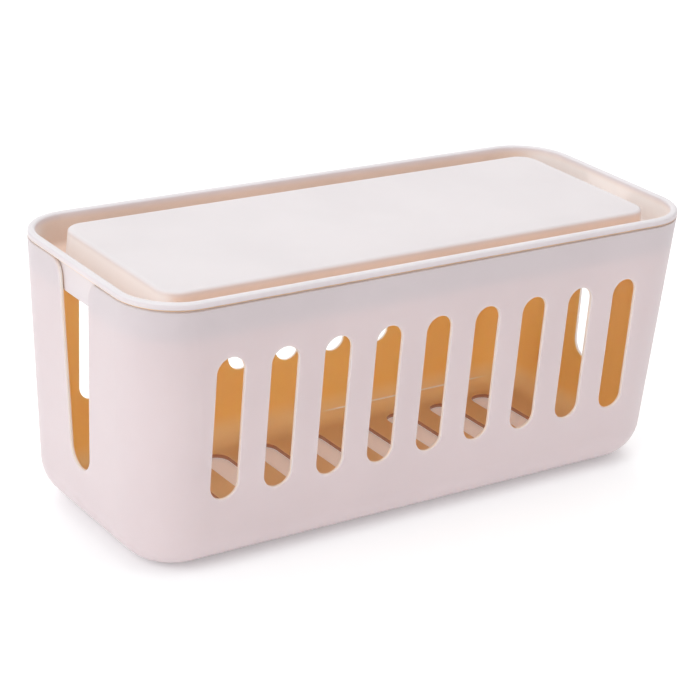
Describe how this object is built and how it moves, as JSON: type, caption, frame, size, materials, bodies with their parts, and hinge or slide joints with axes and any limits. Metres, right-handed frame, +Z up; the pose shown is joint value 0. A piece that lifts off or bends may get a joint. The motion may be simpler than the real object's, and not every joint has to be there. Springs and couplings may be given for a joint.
{
  "type": "cable box",
  "caption": "Long rounded plastic box with a lift-off lid that hides a power strip; slotted long walls and floor, cord notch in each end wall.",
  "frame": {"origin": "centre of the underside, on the plane the box stands on", "axes": "+X along the length, +Y towards the back long wall, +Z up; the front long wall faces -Y"},
  "size_m": [0.303, 0.1274, 0.13],
  "materials": {
    "box_plastic": "fine satin moulded plastic, pale pinkish beige",
    "lid_plastic": "fine satin moulded plastic, pale pinkish beige, slightly lighter than the box"
  },
  "bodies": {
    "box": {"box_body": "box_plastic"},
    "cover": {"lid": "lid_plastic"}
  },
  "joints": [
    {"name": "lid_lift", "type": "slide", "parent": "box", "child": "cover", "axis": [0, 0, 1], "range_m": [0, 0.15]}
  ]
}
